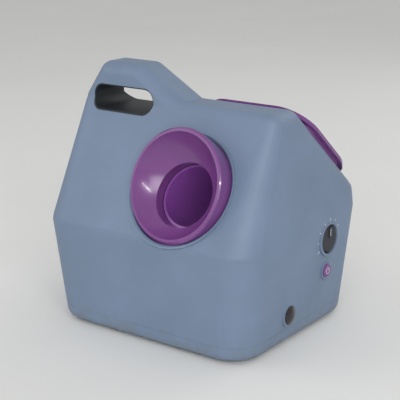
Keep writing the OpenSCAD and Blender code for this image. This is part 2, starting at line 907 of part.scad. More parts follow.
// Torsion spring round the shaft: coils of one unbroken wire with two straight legs.
spring_turns = 4;
spring_wire_r = 1.1;
spring_r = 9;
spring_pitch = 2.9;
spring_x0 = chute_x - 23.5;
spring_sides = 6;
spring_steps = 8;
spring_leg = 12;
spring_angle0 = -chute_elev;
spring_count = spring_turns * spring_steps;
function spring_angle(i) = spring_angle0 + 360 * i / spring_steps;
function spring_radial(i) = [0, cos(spring_angle(i)), sin(spring_angle(i))];
function spring_tangent(i) = [0, -sin(spring_angle(i)), cos(spring_angle(i))];
function spring_centre(i) =
    [spring_x0 + spring_pitch * i / spring_steps, pivot_y, pivot_z] + spring_r * spring_radial(i);
spring_rings = concat(
    [[spring_centre(0) - spring_leg * spring_tangent(0), spring_radial(0)]],
    [for (i = [0:spring_count]) [spring_centre(i), spring_radial(i)]],
    [[spring_centre(spring_count) + spring_leg * spring_tangent(spring_count), spring_radial(spring_count)]]
);
spring_points = [
    for (ring = spring_rings, k = [0:spring_sides - 1])
        ring[0] + spring_wire_r * (cos(360 * k / spring_sides) * ring[1]
                                   + sin(360 * k / spring_sides) * [1, 0, 0])
];
spring_last = len(spring_rings) - 1;
function spring_at(j, k) = j * spring_sides + (k % spring_sides);
spring_faces = concat(
    [[for (k = [0:spring_sides - 1]) spring_at(0, k)]],
    [for (j = [0:spring_last - 1], k = [0:spring_sides - 1])
        [spring_at(j, k), spring_at(j + 1, k), spring_at(j + 1, k + 1)]],
    [for (j = [0:spring_last - 1], k = [0:spring_sides - 1])
        [spring_at(j, k), spring_at(j + 1, k + 1), spring_at(j, k + 1)]],
    [[for (k = [spring_sides - 1:-1:0]) spring_at(spring_last, k)]]
);
echo(spring_gap_mm = spring_pitch - 2 * spring_wire_r);
spring_pin_r = 2;
spring_pin = spring_centre(0) - (spring_leg - 3) * spring_tangent(0)
             + (spring_wire_r + spring_pin_r + 0.1) * spring_radial(0);

module arm_spring()
    color(steel)
        polyhedron(points = spring_points, faces = spring_faces, convexity = 8);

// ---------- frame and gears ----------

module arm_bracket()
    color(dark_plastic)
        difference() {
            union() {
                plate_at(chute_x - 28, 3)
                    translate([pivot_y - 12, floor_z])
                        square([24, pivot_z - floor_z + 8]);
                translate([chute_x - 28, pivot_y - 12, floor_z])
                    cube([12, 24, 3]);
                // pin that holds the spring's fixed leg
                rod_x(chute_x - 26, spring_x0 + 2, spring_pin[1], spring_pin[2], spring_pin_r);
            }
            rod_x(0, chute_x, pivot_y, pivot_z, arm_shaft_r + run_gap);
        }

module gear_plate_2d()
    difference() {
        translate([(plate_y0 + plate_y1) / 2, (floor_z + plate_top) / 2])
            rounded_rect(plate_y1 - plate_y0, plate_top - floor_z, plate_r);
        for (place = spacer_places)
            translate(place)
                circle(r = 1.6, $fn = 24);
        // lightening holes
        translate([pivot_y - 10, plate_top - 20])
            circle(r = 10, $fn = 48);
        translate([motor_y - 2, plate_top - 28])
            circle(r = 12, $fn = 48);
    }

bush_places = [
    [pivot_y, pivot_z, arm_shaft_r],
    [cocking_y, cocking_z, wheel_shaft_r],
    [idler_y, idler_z, idler_shaft_r]
];

module gear_plate(x)
    difference() {
        plate_at(x, plate_t)
            gear_plate_2d();
        for (b = bush_places)
            rod_x(x - 1, x + plate_t + 1, b[0], b[1], b[2] + bush_t + slip_gap / 10);
    }

module inner_gear_plate()
    color(steel)
        difference() {
            gear_plate(plate_in_x);
            rod_x(plate_in_x - 1, plate_in_x + plate_t + 1, motor_y, motor_z, 5.5);
        }

module outer_gear_plate()
    color(steel)
        union() {
            gear_plate(plate_out_x);
            // foot flange, clear of the rounded corners
            translate([plate_out_x, plate_y0 + plate_r, floor_z])
                cube([plate_foot, plate_y1 - plate_y0 - 2 * plate_r, plate_t]);
        }

module plate_spacers()
    color(brass)
        for (place = spacer_places)
            rod_x(plate_in_x + plate_t, plate_out_x, place[0], place[1], spacer_r);

module shaft_bushes()
    color(brass)
        for (x = [plate_in_x, plate_out_x], b = bush_places)
            difference() {
                rod_x(x, x + plate_t, b[0], b[1], b[2] + bush_t);
                rod_x(x - 1, x + plate_t + 1, b[0], b[1], b[2] + run_gap);
            }

module cocking_wheel()
    color(gear_white)
        difference() {
            union() {
                plate_at(layer_2, wheel_face)
                    gear_at(cocking_y, cocking_z, wheel_teeth, fast_module, idler_dir, false);
                rod_x(layer_2, layer_3 + drive_face, cocking_y, cocking_z, cocking_r - 4);
                // the drive teeth cover only the cocking stroke, so the arm is let go at its end
                plate_at(layer_3, drive_face)
                    intersection() {
                        gear_at(cocking_y, cocking_z, cocking_teeth, drive_module, cocking_dir + 180, true);
                        translate([cocking_y, cocking_z])
                            wedge(cocking_r + 4, cocking_dir + 180 - 127.5, cocking_dir + 180 + 22.5);
                    }
            }
            rod_x(0, far, cocking_y, cocking_z, wheel_shaft_r + run_gap);
            // lightening holes in the wheel's web
            for (i = [0:5])
                rod_x(layer_2 - 1, layer_3 - 1, cocking_y + 21 * cos(60 * i), cocking_z + 21 * sin(60 * i), 4.5);
        }

module cocking_shaft()
    color(steel)
        rod_x(plate_in_x, plate_out_x + plate_t + 2, cocking_y, cocking_z, wheel_shaft_r);

module idler_gear()
    color(gear_white)
        difference() {
            union() {
                plate_at(layer_1, fast_face)
                    gear_at(idler_y, idler_z, idler_wheel_teeth, fast_module, motor_dir, false);
                plate_at(layer_1, layer_2 + wheel_face - layer_1)
                    gear_at(idler_y, idler_z, idler_pinion_teeth, fast_module, idler_dir + 180, true);
            }
            rod_x(0, far, idler_y, idler_z, idler_shaft_r + run_gap);
        }

module idler_shaft()
    color(steel)
        rod_x(plate_in_x, plate_out_x + plate_t + 2, idler_y, idler_z, idler_shaft_r);

module motor()
    color(steel)
        difference() {
            union() {
                rod_x(plate_in_x - motor_len, plate_in_x, motor_y, motor_z, motor_r);
                rod_x(plate_in_x - motor_len - 4, plate_in_x - motor_len, motor_y, motor_z, 6);
                rod_x(plate_in_x, plate_in_x + plate_t, motor_y, motor_z, 5.2);
                // cradle under the can
                translate([plate_in_x - motor_len + 6, motor_y - 10, floor_z])
                    cube([motor_len - 12, 20, motor_z - motor_r - floor_z + 4]);
            }
            rod_x(plate_in_x - 8, plate_in_x + 10, motor_y, motor_z, motor_shaft_r + run_gap);
        }

module motor_pinion()
    color(brass) {
        rod_x(plate_in_x - 7, layer_1 + fast_face + 2, motor_y, motor_z, motor_shaft_r);
        plate_at(layer_1, fast_face)
            gear_at(motor_y, motor_z, motor_teeth, fast_module, motor_dir + 180, true);
    }

// ---------- controls, sensors and electrics ----------

module distance_dial()
    color(dark_plastic)
        difference() {
            union() {
                rod_x(dial_x, dial_x + dial_t - dial_bevel, control_y, dial_z, dial_r);
                translate([dial_x + dial_t - dial_bevel, control_y, dial_z])
                    rotate([0, 90, 0])
                        cylinder(r1 = dial_r, r2 = dial_r - 2, h = dial_bevel, $fn = 96);
                // pointer rib
                translate([dial_x + dial_t - dial_bevel, control_y - 1.5, dial_z + 2])
                    cube([dial_bevel + 1.5, 3, dial_r - 5]);
            }
            rod_x(dial_x - 1, dial_x + 5, control_y, dial_z, dial_shaft_r);
            for (i = [0:dial_flutes - 1])
                rod_x(dial_x - 1, dial_x + dial_t + 1,
                      control_y + (dial_r + 0.6) * cos(360 * i / dial_flutes),
                      dial_z + (dial_r + 0.6) * sin(360 * i / dial_flutes), 1.2);
        }

module dial_shaft()
    color(steel)
        rod_x(dial_sensor_x + 2, dial_x + 5, control_y, dial_z, dial_shaft_r);

module dial_sensor()
    color(dark_plastic)
        difference() {
            translate([dial_sensor_x, control_y - 8, dial_z - 8])
                cube([dial_sensor_t, 16, 16]);
            rod_x(dial_sensor_x + 1.5, dial_x, control_y, dial_z, dial_shaft_r + run_gap);
        }

module power_button()
    color(chute_purple)
        union() {
            rod_x(button_x - button_len, button_x - 1, control_y, button_z, button_r);
            translate([button_x - 1, control_y, button_z])
                rotate([0, 90, 0])
                    cylinder(r1 = button_r, r2 = button_r - 1, h = 1, $fn = 64);
            // stem that presses the switch
            rod_x(switch_x + 10 + button_travel + 0.1, button_x - button_len + 1, control_y, button_z, 3);
        }

module power_switch()
    color(dark_plastic)
        union() {
            translate([switch_x, control_y - 12, button_z - 12])
                cube([switch_board_t, 24, 36]);
            translate([switch_x + switch_board_t, control_y - 6, button_z - 6])
                cube([8, 12, 12]);
            for (sy = [-1, 1])
                rod_x(switch_x + switch_board_t, side_wall_x(button_z - 9.5) - wall - 0.4,
                      control_y + sy * 9.5, button_z - 9.5, 1.5);
        }

module status_light()
    color([0.30, 0.75, 0.35])
        rod_x(switch_x + switch_board_t, side_wall_x(light_z), control_y, light_z, light_r);

module lens_shape()
    union() {
        translate([0, 0, -lens_depth - 1])
            cylinder(r = lens_r, h = lens_depth + 1, $fn = 64);
        intersection() {
            translate([0, 0, lens_dome - (lens_r * lens_r + lens_dome * lens_dome) / (2 * lens_dome)])
                sphere(r = (lens_r * lens_r + lens_dome * lens_dome) / (2 * lens_dome), $fn = 96);
            cylinder(r = lens_r, h = lens_dome + 1, $fn = 64);
        }
        translate([0, 0, -lens_depth - lens_flange_t])
            cylinder(r = lens_flange_r, h = lens_flange_t, $fn = 64);
    }

module side_sensor_lens()
    color(dark_plastic)
        translate([side_lens_x, lens_y, lens_z])
            rotate([0, 90, 0])
                lens_shape();

module rear_sensor_lens()
    color(dark_plastic)
        translate([rear_lens_x, rear_lens_y, lens_z])
            rotate([-90, 0, 0])
                lens_shape();

module sensor_boards()
    color(board_green) {
        translate([side_lens_x - lens_depth - lens_flange_t - board_t, lens_y - 13, lens_z - 13])
            cube([board_t, 26, 26]);
        translate([rear_lens_x - 13, rear_lens_y - lens_depth - lens_flange_t - board_t, lens_z - 13])
            cube([26, board_t, 26]);
    }

module control_board()
    color(board_green)
        translate([box_x0 + 14, -box_wid / 2 + 6, board_z])
            cube([box_len - 28, box_wid - 12, board_t]);

module board_parts()
    color(dark_plastic) {
        translate([box_x0 + 36, -20, board_z + board_t])
            cube([18, 18, 2.2]);
        translate([box_x0 + 62, -34, board_z + board_t])
            cube([16, 13, 15]);
        translate([box_x0 + 66, 6, board_z + board_t])
            cylinder(r = 5, h = 13, $fn = 48);
        translate([box_x0 + 80, 6, board_z + board_t])
            cylinder(r = 5, h = 13, $fn = 48);
        translate([box_x0 + 36, 12, board_z + board_t])
            cube([20, 6, 7]);
    }

module buzzer()
    color(dark_plastic)
        translate([box_x0 + 96, -26, board_z + board_t])
            difference() {
                cylinder(r = 8, h = 9, $fn = 64);
                translate([0, 0, 3])
                    cylinder(r = 1.5, h = 10, $fn = 32);
            }

// Lever under the barrel that the waiting ball presses.
lever_t = ball_t - 14;
lever_drop = barrel_out_r + 5;
lever_tip = 2.5;
lever_y = chute_y + lever_t * cos(chute_elev) - lever_drop * sin(chute_elev);
lever_z = chute_z - lever_t * sin(chute_elev) - lever_drop * cos(chute_elev);

module ball_lever()
    color(gear_white)
        at_chute()
            difference() {
                union() {
                    translate([-2, -lever_drop - 3, -lever_t - 5])
                        cube([4, 6, 5]);
                    translate([-2, -lever_drop - 3, -lever_t - 11])
                        cube([4, lever_drop + 3 - barrel_r + lever_tip, 6]);
                    translate([-2, -lever_drop, -lever_t])
                        rotate([0, 90, 0])
                            cylinder(r = 3, h = 4, $fn = 48);
                }
                translate([-3, -lever_drop, -lever_t])
                    rotate([0, 90, 0])
                        cylinder(r = 1 + run_gap, h = 6, $fn = 32);
            }

module ball_switch()
    color(dark_plastic)
        at_chute() {
            difference() {
                for (sx = [-1, 1])
                    translate([sx * 4 - 1.5, -lever_drop - 4, -lever_t - 4])
                        cube([3, 10.5, 8]);
                translate([0, 0, -far / 2])
                    cylinder(r = barrel_out_r, h = far, $fn = 96);
            }
            translate([-4, -lever_drop, -lever_t])
                rotate([0, 90, 0])
                    cylinder(r = 1, h = 8, $fn = 32);
        }

// ---------- battery ----------

module battery_door()
    color(body_grey)
        difference() {
            union() {
                translate([box_x0 + door_gap, -box_wid / 2 + door_gap, foot_h])
                    cube([box_len - 2 * door_gap, box_wid - 2 * door_gap, wall]);
                // hooks on the far edge
                for (x = hook_places) {
                    translate([x - 5, -box_wid / 2 - 1.2, floor_z + 0.3])
                        cube([10, 4.2, 1.7]);
                    translate([x - 5, -box_wid / 2 + door_gap, floor_z - eps])
                        cube([10, 2.5, 2]);
                }
                // stiffening ribs
                for (x = [box_x0 + 20, box_x1 - 20])
                    translate([x, -box_wid / 2 + 12, foot_h + wall - eps])
                        cube([1.5, box_wid - 40, 1]);
            }
            translate([latch_x, latch_y, foot_h - 1])
                cylinder(r = latch_r + 0.1, h = 20, $fn = 48);
            // finger recess
            translate([latch_x, -latch_y, foot_h - 1.6])
                cylinder(r = 9, h = 2.6, $fn = 48);
        }

module door_latch()
    color(dark_plastic)
        translate([latch_x, latch_y, foot_h])
            difference() {
                union() {
                    cylinder(r = latch_r, h = wall + 0.3, $fn = 48);
                    translate([-tongue_w / 2, -tongue_w / 2, wall + 0.3])
                        cube([tongue_w, tongue_len, tongue_t]);
                    translate([0, 0, wall + 0.3])
                        cylinder(r = latch_r + 1.5, h = tongue_t, $fn = 48);
                }
                translate([-5, -0.8, -1])
                    cube([10, 1.6, 2.5]);
            }

module battery_cells()
    color([0.75, 0.55, 0.25])
        for (row = [0:cell_rows - 1], i = [0, 1])
            rod_x(box_x0 + 3.5 + i * cell_len, box_x0 + 3.5 + (i + 1) * cell_len - 0.4,
                  (row - (cell_rows - 1) / 2) * cell_pitch, cell_z, cell_r);

module battery_contacts()
    color(steel)
        for (row = [0:cell_rows - 1]) {
            y = (row - (cell_rows - 1) / 2) * cell_pitch;
            translate([box_x0, y - 9, cell_z - 9])
                cube([0.6, 18, 18]);
            rod_x(box_x0 + 0.6, box_x0 + 3.3, y, cell_z, 5);
            translate([box_x1 - 0.6, y - 9, cell_z - 9])
                cube([0.6, 18, 18]);
            rod_x(box_x1 - 3.3, box_x1 - 0.6, y, cell_z, 4);
        }

module power_jack()
    color(dark_plastic)
        difference() {
            union() {
                rod_y(jack_y - 14, jack_y - 0.5, jack_x, jack_z, jack_body_r);
                rod_y(jack_y - 14, jack_y - 8.2, jack_x, jack_z, jack_body_r + 2.5);
            }
            rod_y(jack_y - 10, jack_y + 1, jack_x, jack_z, jack_r);
        }

module rubber_feet()
    color(rubber)
        for (sx = [-1, 1], sy = [-1, 1])
            translate([sx * foot_x, sy * foot_y, 0]) {
                cylinder(r1 = foot_r - 1, r2 = foot_r, h = 1, $fn = 48);
                translate([0, 0, 1])
                    cylinder(r = foot_r, h = foot_h + foot_seat - 1, $fn = 48);
            }

module housing_screws()
    color(steel)
        for (sx = [-1, 1], sy = [-1, 1])
            translate([sx * boss_x, sy * boss_y, 0])
                difference() {
                    union() {
                        translate([0, 0, foot_h + 1.5])
                            cylinder(r = 2 * screw_r, h = 2.5, $fn = 32);
                        translate([0, 0, foot_h + 3.9])
                            cylinder(r = screw_r, h = part_z + 20 - foot_h - 3.9, $fn = 24);
                    }
                    for (a = [0, 90])
                        rotate([0, 0, a])
                            translate([-2, -0.4, 0])
                                cube([4, 0.8, foot_h + 2.7]);
                }

base_pan();
main_housing();
handle_liner();
ball_bowl();
launch_chute();
chute_retainer();
launch_barrel();
barrel_end_cap();
launch_arm();
arm_sector();
arm_shaft();
hammer_pad();
arm_spring();
arm_bracket();
inner_gear_plate();
outer_gear_plate();
plate_spacers();
cocking_wheel();
cocking_shaft();
idler_gear();
idler_shaft();
motor();
motor_pinion();
shaft_bushes();
distance_dial();
dial_shaft();
dial_sensor();
power_button();
power_switch();
status_light();
side_sensor_lens();
rear_sensor_lens();
sensor_boards();
control_board();
board_parts();
buzzer();
ball_lever();
ball_switch();
battery_door();
door_latch();
battery_contacts();
battery_cells();
power_jack();
rubber_feet();
housing_screws();
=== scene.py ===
"""Dresses the automatic ball launcher: moulded shells, glossy chute and bowl, marks, light and camera."""

import logging
import math
from dataclasses import dataclass, field
from enum import Enum

import bmesh
import bpy
from mathutils import Matrix, Vector
from mathutils.bvhtree import BVHTree

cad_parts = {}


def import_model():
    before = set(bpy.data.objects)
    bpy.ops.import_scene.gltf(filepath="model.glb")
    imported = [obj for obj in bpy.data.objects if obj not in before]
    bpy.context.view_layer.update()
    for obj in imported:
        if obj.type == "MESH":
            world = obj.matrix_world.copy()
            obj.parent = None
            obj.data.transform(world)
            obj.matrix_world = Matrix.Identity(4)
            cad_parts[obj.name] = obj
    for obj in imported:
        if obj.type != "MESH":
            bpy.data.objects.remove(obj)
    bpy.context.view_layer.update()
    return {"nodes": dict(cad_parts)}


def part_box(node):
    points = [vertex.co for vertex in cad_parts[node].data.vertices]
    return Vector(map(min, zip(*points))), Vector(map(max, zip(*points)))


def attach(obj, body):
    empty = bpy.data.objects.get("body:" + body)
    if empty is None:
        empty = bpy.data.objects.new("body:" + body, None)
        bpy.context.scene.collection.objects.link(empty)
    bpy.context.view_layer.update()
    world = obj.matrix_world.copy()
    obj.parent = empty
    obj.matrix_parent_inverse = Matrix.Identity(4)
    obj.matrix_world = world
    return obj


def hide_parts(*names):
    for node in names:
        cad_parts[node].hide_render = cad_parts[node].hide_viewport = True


log = logging.getLogger("ball_launcher")
logging.basicConfig(level=logging.INFO, format="%(message)s")

MM = 0.001
PLASTIC_IOR = 1.5
# The share of a spark-eroded tool's relief that a milled tool leaves.
MILLED_RELIEF = 0.4
# A Mix node has sockets for each kind of value. These are the numbers of its two colours and of their mix.
BELOW, ON_TOP, MIXED = 6, 7, 2
Point = tuple[float, float, float]


def linear(hex_colour: str, alpha: float = 1.0) -> tuple[float, float, float, float]:
    """Turns an sRGB colour into the linear values that shaders use.

    Args:
        hex_colour: six hex digits, such as "8291a8".
        alpha: the fourth value, left as it is.

    Returns:
        Linear red, green and blue, and alpha.
    """
    parts = [int(hex_colour[i : i + 2], 16) / 255 for i in (0, 2, 4)]
    red, green, blue = [c / 12.92 if c <= 0.04045 else ((c + 0.055) / 1.055) ** 2.4 for c in parts]
    return red, green, blue, alpha


def add(
    tree: bpy.types.NodeTree,
    kind: str,
    settings: dict[str | int, object] | None = None,
    links: dict[str | int, bpy.types.NodeSocket] | None = None,
) -> bpy.types.Node:
    """Adds a node with its settings and links.

    Args:
        tree: the node tree that gets it.
        kind: Blender's name of the node type.
        settings: the name of an attribute, or the name or number of an input, to its value.
        links: the name or number of an input to the output socket that feeds it.

    Returns:
        The new node.
    """
    node = tree.nodes.new(kind)
    for name, value in (settings or {}).items():
        if isinstance(name, str) and hasattr(node, name):
            setattr(node, name, value)
        else:
            node.inputs[name].default_value = value
    for name, socket in (links or {}).items():
        tree.links.new(socket, node.inputs[name])
    return node


def blank_material(name: str) -> tuple[bpy.types.Material, bpy.types.NodeTree, bpy.types.NodeSocket]:
    """Starts a node material.

    Args:
        name: what the surface is.

    Returns:
        The material, its empty node tree and the socket with the place on the piece, in metres.
    """
    material = bpy.data.materials.new(name)
    material.use_nodes = True
    tree = material.node_tree
    tree.nodes.clear()
    return material, tree, add(tree, "ShaderNodeTexCoord").outputs["Object"]


class Surface(Enum):
    """How a moulded surface came out of its tool."""

    SPARKED = "spark-eroded grain"
    POLISHED = "polished tool"
    PLAIN = "plain milled tool"


@dataclass(frozen=True)
class Plastic:
    """Injection-moulded plastic.

    The grain, in millimetres, and the slow drift of the colour are what the eye reads as moulded.
    """

    name: str
    colour: str
    shade: str
    surface: Surface = Surface.SPARKED
    roughness: float = 0.5
    grain_mm: float = 0.9
    relief_mm: float = 0.035
    drift_mm: float = 70.0
    scuff: float = 0.0
    scuff_mm: float = 9.0
    scuff_colour: str = "c3ccd8"
    soil_top_mm: float = 0.0
    soil_bottom_mm: float = 4.0
    soil_mm: float = 14.0
    soil: str = "6d6a5c"
    soil_share: float = 0.62
    sink_mm: float = 22.0
    coat: float = 0.0
    sheen: float = 0.0

    def grazed(
        self,
        tree: bpy.types.NodeTree,
        where: bpy.types.NodeSocket,
        colour: bpy.types.NodeSocket,
    ) -> bpy.types.NodeSocket:
        """Adds short grazes from grass and teeth: thin, faint and lighter than the skin around them.

        Args:
            tree: the node tree.
            where: the place on the piece.
            colour: the colour so far.

        Returns:
            The socket with the grazed colour.
        """
        streak = add(
            tree,
            "ShaderNodeMapping",
            {"Scale": (1.0, 1.0, 0.22), "Rotation": (0.5, 0.3, 0.2)},
            {"Vector": where},
        )
        graze = add(
            tree,
            "ShaderNodeTexNoise",
            {"Scale": 1 / (self.scuff_mm * MM), "Detail": 5.0, "Roughness": 0.7, "Distortion": 0.6},
            {"Vector": streak.outputs["Vector"]},
        )
        worn = add(
            tree,
            "ShaderNodeMapRange",
            {"From Min": 0.66, "From Max": 0.78, "To Max": self.scuff},
            {"Value": graze.outputs["Fac"]},
        )
        mixed = add(
            tree,
            "ShaderNodeMix",
            {"data_type": "RGBA", ON_TOP: linear(self.scuff_colour)},
            {"Factor": worn.outputs["Result"], BELOW: colour},
        )
        return mixed.outputs[MIXED]

    def soiled(
        self,
        tree: bpy.types.NodeTree,
        where: bpy.types.NodeSocket,
        colour: bpy.types.NodeSocket,
    ) -> bpy.types.NodeSocket:
        """Adds dust and soil that fade out above the ground.

        Args:
            tree: the node tree.
            where: the place on the piece.
            colour: the colour so far.

        Returns:
            The socket with the soiled colour.
        """
        height = add(tree, "ShaderNodeSeparateXYZ", {}, {"Vector": where})
        fade = add(
            tree,
            "ShaderNodeMapRange",
            {
                "From Min": self.soil_bottom_mm * MM,
                "From Max": self.soil_top_mm * MM,
                "To Min": self.soil_share,
                "To Max": 0.0,
            },
            {"Value": height.outputs["Z"]},
        )
        cloud = add(
            tree,
            "ShaderNodeTexNoise",
            {"Scale": 1 / (self.soil_mm * MM), "Detail": 6.0, "Roughness": 0.65},
            {"Vector": where},
        )
        patch = add(
            tree,
            "ShaderNodeMapRange",
            {"From Min": 0.42, "From Max": 0.72},
            {"Value": cloud.outputs["Fac"]},
        )
        amount = add(
            tree,
            "ShaderNodeMath",
            {"operation": "MULTIPLY"},
            {0: fade.outputs["Result"], 1: patch.outputs["Result"]},
        )
        mixed = add(
            tree,
            "ShaderNodeMix",
            {"data_type": "RGBA", ON_TOP: linear(self.soil)},
            {"Factor": amount.outputs["Value"], BELOW: colour},
        )
        return mixed.outputs[MIXED]

    def relief(self, tree: bpy.types.NodeTree, where: bpy.types.NodeSocket) -> bpy.types.NodeSocket:
        """Makes the fine relief that the tool left.

        Args:
            tree: the node tree.
            where: the place on the piece.

        Returns:
            The socket with the bumped normal.
        """
        if self.surface is Surface.POLISHED:
            # Long shallow waves, the sink that a glossy wall always shows in a reflection.
            height = add(
                tree,
                "ShaderNodeTexNoise",
                {"Scale": 1 / (self.sink_mm * MM), "Detail": 1.0},
                {"Vector": where},
            )
            bump = {"Strength": 0.25, "Distance": 0.25 * MM}
        else:
            # The spark grain is finer than a pixel at this distance, so it is drawn at about twice its size.
            height = add(
                tree,
                "ShaderNodeTexNoise",
                {"Scale": 1 / (self.grain_mm * MM), "Detail": 2.0, "Roughness": 0.6},
                {"Vector": where},
            )
            depth = self.relief_mm if self.surface is Surface.SPARKED else self.relief_mm * MILLED_RELIEF
            bump = {"Strength": 0.55, "Distance": depth * MM}
        return add(tree, "ShaderNodeBump", bump, {"Height": height.outputs["Fac"]}).outputs["Normal"]

    def build(self) -> bpy.types.Material:
        """Makes the material.

        Returns:
            The finished material.
        """
        material, tree, where = blank_material(self.name)
        # Slow drift between two near colours, as flow and cooling leave in a large moulding.
        drift = add(
            tree,
            "ShaderNodeTexNoise",
            {"Scale": 1 / (self.drift_mm * MM), "Detail": 3.0, "Roughness": 0.55},
            {"Vector": where},
        )
        eased = add(
            tree,
            "ShaderNodeMapRange",
            {"From Min": 0.32, "From Max": 0.68},
            {"Value": drift.outputs["Fac"]},
        )
        mixed = add(
            tree,
            "ShaderNodeMix",
            {"data_type": "RGBA", BELOW: linear(self.colour), ON_TOP: linear(self.shade)},
            {"Factor": eased.outputs["Result"]},
        )
        colour = mixed.outputs[MIXED]
        rough = add(
            tree,
            "ShaderNodeMapRange",
            {"To Min": self.roughness - 0.05, "To Max": self.roughness + 0.06},
            {"Value": drift.outputs["Fac"]},
        )
        if self.scuff > 0:
            colour = self.grazed(tree, where, colour)
        if self.soil_top_mm > 0:
            colour = self.soiled(tree, where, colour)
        shader = add(
            tree,
            "ShaderNodeBsdfPrincipled",
            {
                "IOR": PLASTIC_IOR,
                "Metallic": 0.0,
                "Coat Weight": self.coat,
                "Coat Roughness": 0.08,
                "Sheen Weight": self.sheen,
            },
            {
                "Base Color": colour,
                "Roughness": rough.outputs["Result"],
                "Normal": self.relief(tree, where),
            },
        )
        add(tree, "ShaderNodeOutputMaterial", links={"Surface": shader.outputs["BSDF"]})
        return material


class Working(Enum):
    """How a metal surface was finished."""

    GROUND = "ground round bar"
    PLATED = "zinc-plated sheet"
    TURNED = "turned on a lathe"


@dataclass(frozen=True)
class Metal:
    """A bare or plated metal; the direction and size of its tool marks set how it shines."""

    name: str
    colour: str
    working: Working
    roughness: float = 0.3
    mark_mm: float = 0.5
    mark_tone: float = 0.82

    def build(self) -> bpy.types.Material:
        """Makes the material.

        Returns:
            The finished material.
        """
        material, tree, where = blank_material(self.name)
        # Marks run round the shafts, which lie along X, so the pattern is stretched across Y and Z.
        stretch = (1.0, 0.12, 0.12) if self.working is not Working.PLATED else (1.0, 1.0, 1.0)
        laid = add(tree, "ShaderNodeMapping", {"Scale": stretch}, {"Vector": where})
        marks = add(
            tree,
            "ShaderNodeTexNoise",
            {"Scale": 1 / (self.mark_mm * MM), "Detail": 3.0, "Roughness": 0.6},
            {"Vector": laid.outputs["Vector"]},
        )
        rough = add(
            tree,
            "ShaderNodeMapRange",
            {"To Min": self.roughness - 0.08, "To Max": self.roughness + 0.12},
            {"Value": marks.outputs["Fac"]},
        )
        base = linear(self.colour)
        darker = tuple(part * self.mark_tone for part in base[:3]) + (1.0,)
        tone = add(
            tree,
            "ShaderNodeMix",
            {"data_type": "RGBA", BELOW: base, ON_TOP: darker},
            {"Factor": marks.outputs["Fac"]},
        )
        bump = add(
            tree,
            "ShaderNodeBump",
            {"Strength": 0.3, "Distance": 0.02 * MM},
            {"Height": marks.outputs["Fac"]},
        )
        shader = add(
            tree,
            "ShaderNodeBsdfPrincipled",
            {"Metallic": 1.0},
            {
                "Base Color": tone.outputs[MIXED],
                "Roughness": rough.outputs["Result"],
                "Normal": bump.outputs["Normal"],
            },
        )
        add(tree, "ShaderNodeOutputMaterial", links={"Surface": shader.outputs["BSDF"]})
        return material


@dataclass(frozen=True)
class CellWrap:
    """Printed shrink sleeve of a dry cell: a copper-coloured end band and a dark body, without words."""

    name: str
    body: str
    band: str
    pitch_mm: float
    first_mm: float
    body_share: float = 0.74
    wrinkle_mm: float = 6.0

    def build(self) -> bpy.types.Material:
        """Makes the material.

        Returns:
            The finished material.
        """
        material, tree, where = blank_material(self.name)
        along = add(tree, "ShaderNodeSeparateXYZ", {}, {"Vector": where})
        moved = add(
            tree,
            "ShaderNodeMath",
            {"operation": "SUBTRACT", 1: self.first_mm * MM},
            {0: along.outputs["X"]},
        )
        cells = add(
            tree,
            "ShaderNodeMath",
            {"operation": "DIVIDE", 1: self.pitch_mm * MM},
            {0: moved.outputs["Value"]},
        )
        part = add(tree, "ShaderNodeMath", {"operation": "FRACT"}, {0: cells.outputs["Value"]})
        on_band = add(
            tree,
            "ShaderNodeMath",
            {"operation": "GREATER_THAN", 1: self.body_share},
            {0: part.outputs["Value"]},
        )
        tone = add(
            tree,
            "ShaderNodeMix",
            {"data_type": "RGBA", BELOW: linear(self.body), ON_TOP: linear(self.band)},
            {"Factor": on_band.outputs["Value"]},
        )
        wrinkle = add(
            tree,
            "ShaderNodeTexNoise",
            {"Scale": 1 / (self.wrinkle_mm * MM), "Detail": 2.0},
            {"Vector": where},
        )
        bump = add(
            tree,
            "ShaderNodeBump",
            {"Strength": 0.2, "Distance": 0.05 * MM},
            {"Height": wrinkle.outputs["Fac"]},
        )
        shader = add(
            tree,
            "ShaderNodeBsdfPrincipled",
            {"Roughness": 0.28, "Metallic": 0.35, "IOR": PLASTIC_IOR},
            {"Base Color": tone.outputs[MIXED], "Normal": bump.outputs["Normal"]},
        )
        add(tree, "ShaderNodeOutputMaterial", links={"Surface": shader.outputs["BSDF"]})
        return material


# The grey of the shells and the purple of the chute and the bowl are set so that, in this light, they look
# as in the printed picture. The colours of pieces that it doesn't show are assumed.

# Acrylonitrile butadiene styrene from a spark-eroded tool: a soft broad sheen and a fine even grain.
HOUSING_GREY = Plastic(
    "Textured ABS, spark-eroded grain", "7486a0", "6e8098", roughness=0.5, scuff=0.1, soil_top_mm=34
)
# Polypropylene from a finely eroded tool: a dark insert that swallows most light and hides finger marks.
LINER_DARK = Plastic("Polypropylene, dark grey liner", "262a30", "202429", roughness=0.55)
# ABS from a polished tool: a wet-looking gloss whose reflections bend a little where the wall has sunk.
CHUTE_PURPLE = Plastic("ABS, polished purple", "7b4488", "724080", Surface.POLISHED, 0.24, coat=0.35)
# The same polished ABS on the large basin, a touch duller, because the balls and the sun wear it first.
BOWL_PURPLE = Plastic("ABS, glossy purple bowl", "7a4688", "6f3f7e", Surface.POLISHED, 0.26, coat=0.3)
# Polypropylene, moulded in a plain milled tool: a waxy half-gloss that suits a part the balls slide in.
# Its purple is painted lighter than the chute's, as a stand-in for light reaching into the shaded hole behind
# the chute's mouth.
BARREL_PURPLE_PAINTED_LIGHTER = Plastic("Polypropylene, purple barrel, painted lighter", "9153a9", "894d9f", Surface.PLAIN, 0.3, coat=0.3)
# ABS, vapour-blasted tool: a satin cap whose highlight is wide and faint, so it reads as a thing to press.
BUTTON_PURPLE = Plastic("ABS, satin purple button", "7d4a8b", "734381", Surface.PLAIN, 0.34, grain_mm=0.6)
